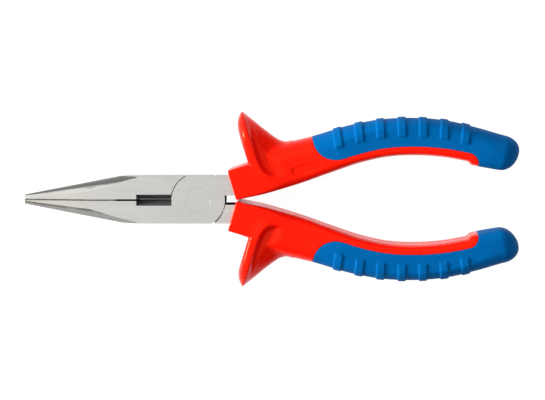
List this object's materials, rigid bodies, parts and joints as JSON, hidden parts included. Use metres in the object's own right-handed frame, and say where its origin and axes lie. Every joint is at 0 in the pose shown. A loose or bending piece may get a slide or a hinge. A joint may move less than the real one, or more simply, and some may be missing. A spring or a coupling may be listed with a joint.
{
  "type": "needle nose pliers",
  "caption": "Long-nose gripping pliers with serrated half-round jaws, a side cutter, a flush-riveted lap joint and two-component grips with thumb guards.",
  "frame": {"origin": "on the pivot axis, in the ground flat on the underside of the head", "axes": "+X from the joint towards the handle ends, +Y across the handles towards the arm that moves, +Z along the pivot axis"},
  "size_m": [0.1597, 0.0568, 0.018],
  "materials": {
    "steel": "ground lengthways, satin",
    "rivet_steel": "ground flush with the head",
    "red_plastic": "smooth moulded polypropylene, soft gloss",
    "blue_rubber": "satin moulded thermoplastic elastomer"
  },
  "bodies": {
    "back_arm": {"back_lever": "steel", "pivot_rivet": "rivet_steel", "lower_grip_core": "red_plastic", "lower_grip_overmould": "blue_rubber"},
    "front_arm": {"front_lever": "steel", "upper_grip_core": "red_plastic", "upper_grip_overmould": "blue_rubber"}
  },
  "joints": [
    {"name": "pivot", "type": "hinge", "parent": "back_arm", "child": "front_arm", "pos_m": [0, 0, 0], "axis": [0, 0, 1], "range_deg": [0, 60]}
  ]
}
